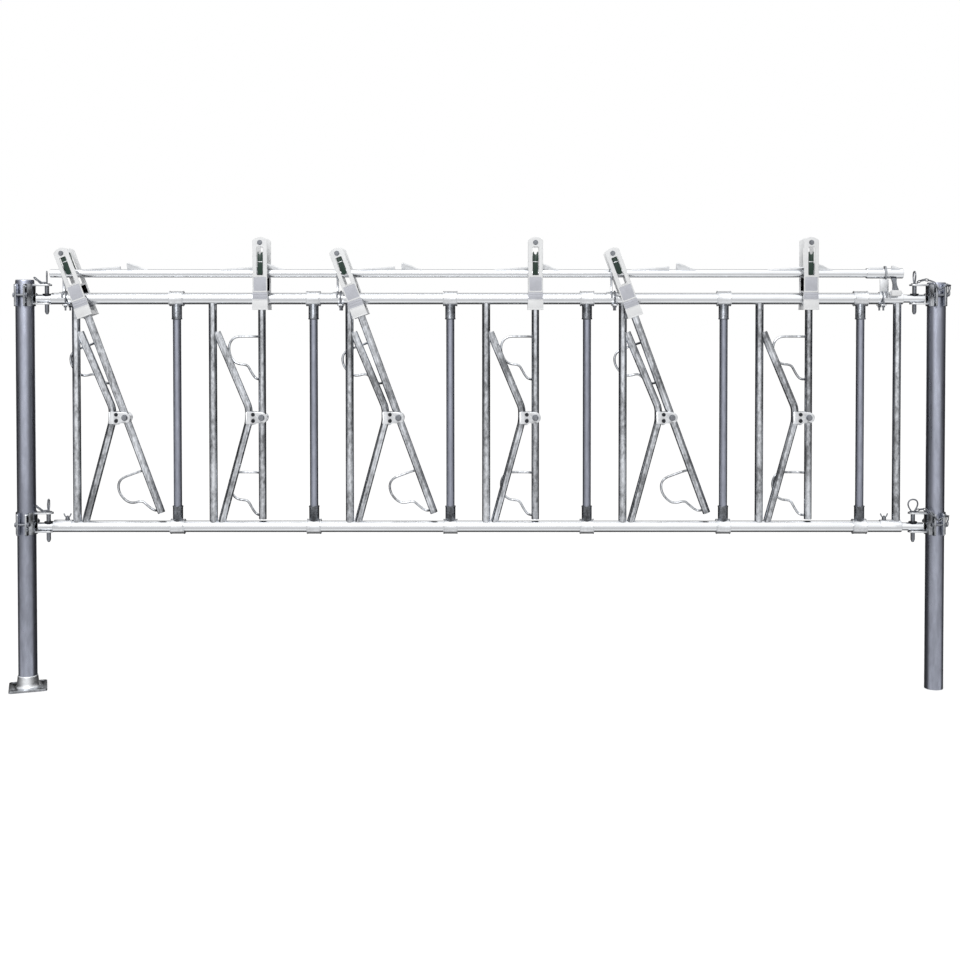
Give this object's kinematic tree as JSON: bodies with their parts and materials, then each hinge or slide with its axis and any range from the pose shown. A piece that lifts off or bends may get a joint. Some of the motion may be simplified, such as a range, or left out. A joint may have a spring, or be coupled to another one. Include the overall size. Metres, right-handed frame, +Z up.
{
  "type": "calf headlock",
  "caption": "Tubular steel feed-front headlock for calves between two posts, with tilting locking arms, sliding catches and a turning release shaft.",
  "frame": {"origin": "on the floor, at the left post's axis, on the underside of its foot plate", "axes": "+X along the panel to the right, +Y away from the viewer, +Z up"},
  "size_m": [3.1109, 0.1526, 1.4899],
  "materials": {
    "galvanised_steel": "galvanised, mottled",
    "bright_zinc": "bright zinc",
    "plated_steel": "zinc plated",
    "head_grey": "moulded, light grey",
    "catch_green": "moulded, dark green"
  },
  "bodies": {
    "fixed_frame": {"left_post": "galvanised_steel", "right_post": "galvanised_steel", "post_clamp_top_left": "bright_zinc", "post_clamp_top_right": "bright_zinc", "post_clamp_bottom_left": "bright_zinc", "post_clamp_bottom_right": "bright_zinc", "top_rail": "bright_zinc", "bottom_rail": "bright_zinc", "rail_end_tube_top_left": "galvanised_steel", "rail_end_tube_top_right": "galvanised_steel", "rail_end_tube_bottom_left": "galvanised_steel", "rail_end_tube_bottom_right": "galvanised_steel", "divider_1": "galvanised_steel", "divider_2": "galvanised_steel", "divider_3": "galvanised_steel", "divider_4": "galvanised_steel", "divider_5": "galvanised_steel", "divider_6": "galvanised_steel", "neck_frame_1": "galvanised_steel", "neck_frame_2": "galvanised_steel", "neck_frame_3": "galvanised_steel", "neck_frame_4": "galvanised_steel", "neck_frame_5": "galvanised_steel", "neck_frame_6": "galvanised_steel", "end_upright": "galvanised_steel", "pivot_clamp_1": "bright_zinc", "pivot_clamp_2": "bright_zinc", "pivot_clamp_3": "bright_zinc", "pivot_clamp_4": "bright_zinc", "pivot_clamp_5": "bright_zinc", "pivot_clamp_6": "bright_zinc", "shaft_bracket_1": "bright_zinc", "shaft_bracket_2": "bright_zinc", "shaft_bracket_3": "bright_zinc", "shaft_bracket_4": "bright_zinc"},
    "locking_arm_1": {"arm_1": "galvanised_steel", "head_1": "head_grey"},
    "catch_1": {"pawl_1": "catch_green"},
    "locking_arm_2": {"arm_2": "galvanised_steel", "head_2": "head_grey"},
    "catch_2": {"pawl_2": "catch_green"},
    "locking_arm_3": {"arm_3": "galvanised_steel", "head_3": "head_grey"},
    "catch_3": {"pawl_3": "catch_green"},
    "locking_arm_4": {"arm_4": "galvanised_steel", "head_4": "head_grey"},
    "catch_4": {"pawl_4": "catch_green"},
    "locking_arm_5": {"arm_5": "galvanised_steel", "head_5": "head_grey"},
    "catch_5": {"pawl_5": "catch_green"},
    "locking_arm_6": {"arm_6": "galvanised_steel", "head_6": "head_grey"},
    "catch_6": {"pawl_6": "catch_green"},
    "release_rod": {"release_shaft": "bright_zinc", "release_lever": "bright_zinc", "lever_knob": "head_grey"},
    "pin_top_left": {"drop_pin_top_left": "plated_steel"},
    "pin_top_right": {"drop_pin_top_right": "plated_steel"},
    "pin_bottom_left": {"drop_pin_bottom_left": "plated_steel"},
    "pin_bottom_right": {"drop_pin_bottom_right": "plated_steel"}
  },
  "joints": [
    {"name": "arm_swing_1", "type": "hinge", "parent": "fixed_frame", "child": "locking_arm_1", "pos_m": [0.33, 0, 0.897], "axis": [0, 1, 0], "range_deg": [0, 20.2]},
    {"name": "pawl_slide_1", "type": "slide", "parent": "locking_arm_1", "child": "catch_1", "axis": [-0.3453, 0, 0.9385], "range_m": [-0.0333, 0]},
    {"name": "arm_swing_2", "type": "hinge", "parent": "fixed_frame", "child": "locking_arm_2", "pos_m": [0.78, 0, 0.897], "axis": [0, 1, 0], "range_deg": [-20.2, 0]},
    {"name": "pawl_slide_2", "type": "slide", "parent": "locking_arm_2", "child": "catch_2", "axis": [0, 0, 1], "range_m": [0, 0.0333]},
    {"name": "arm_swing_3", "type": "hinge", "parent": "fixed_frame", "child": "locking_arm_3", "pos_m": [1.23, 0, 0.897], "axis": [0, 1, 0], "range_deg": [0, 20.2]},
    {"name": "pawl_slide_3", "type": "slide", "parent": "locking_arm_3", "child": "catch_3", "axis": [-0.3453, 0, 0.9385], "range_m": [-0.0333, 0]},
    {"name": "arm_swing_4", "type": "hinge", "parent": "fixed_frame", "child": "locking_arm_4", "pos_m": [1.68, 0, 0.897], "axis": [0, 1, 0], "range_deg": [-20.2, 0]},
    {"name": "pawl_slide_4", "type": "slide", "parent": "locking_arm_4", "child": "catch_4", "axis": [0, 0, 1], "range_m": [0, 0.0333]},
    {"name": "arm_swing_5", "type": "hinge", "parent": "fixed_frame", "child": "locking_arm_5", "pos_m": [2.13, 0, 0.897], "axis": [0, 1, 0], "range_deg": [0, 20.2]},
    {"name": "pawl_slide_5", "type": "slide", "parent": "locking_arm_5", "child": "catch_5", "axis": [-0.3453, 0, 0.9385], "range_m": [-0.0333, 0]},
    {"name": "arm_swing_6", "type": "hinge", "parent": "fixed_frame", "child": "locking_arm_6", "pos_m": [2.58, 0, 0.897], "axis": [0, 1, 0], "range_deg": [-20.2, 0]},
    {"name": "pawl_slide_6", "type": "slide", "parent": "locking_arm_6", "child": "catch_6", "axis": [0, 0, 1], "range_m": [0, 0.0333]},
    {"name": "release_turn", "type": "hinge", "parent": "fixed_frame", "child": "release_rod", "pos_m": [2.86, 0, 1.372], "axis": [1, 0, 0], "range_deg": [-35, 0]},
    {"name": "pin_lift_top_left", "type": "slide", "parent": "fixed_frame", "child": "pin_top_left", "axis": [0, 0, 1], "range_m": [0, 0.105]},
    {"name": "pin_lift_top_right", "type": "slide", "parent": "fixed_frame", "child": "pin_top_right", "axis": [0, 0, 1], "range_m": [0, 0.105]},
    {"name": "pin_lift_bottom_left", "type": "slide", "parent": "fixed_frame", "child": "pin_bottom_left", "axis": [0, 0, 1], "range_m": [0, 0.105]},
    {"name": "pin_lift_bottom_right", "type": "slide", "parent": "fixed_frame", "child": "pin_bottom_right", "axis": [0, 0, 1], "range_m": [0, 0.105]}
  ],
  "couplings": [
    {"joint": "pawl_slide_1", "follows": "arm_swing_1", "m_per_rad": -0.093996},
    {"joint": "pawl_slide_2", "follows": "arm_swing_2", "m_per_rad": -0.093996},
    {"joint": "pawl_slide_3", "follows": "arm_swing_3", "m_per_rad": -0.093996},
    {"joint": "pawl_slide_4", "follows": "arm_swing_4", "m_per_rad": -0.093996},
    {"joint": "pawl_slide_5", "follows": "arm_swing_5", "m_per_rad": -0.093996},
    {"joint": "pawl_slide_6", "follows": "arm_swing_6", "m_per_rad": -0.093996}
  ]
}
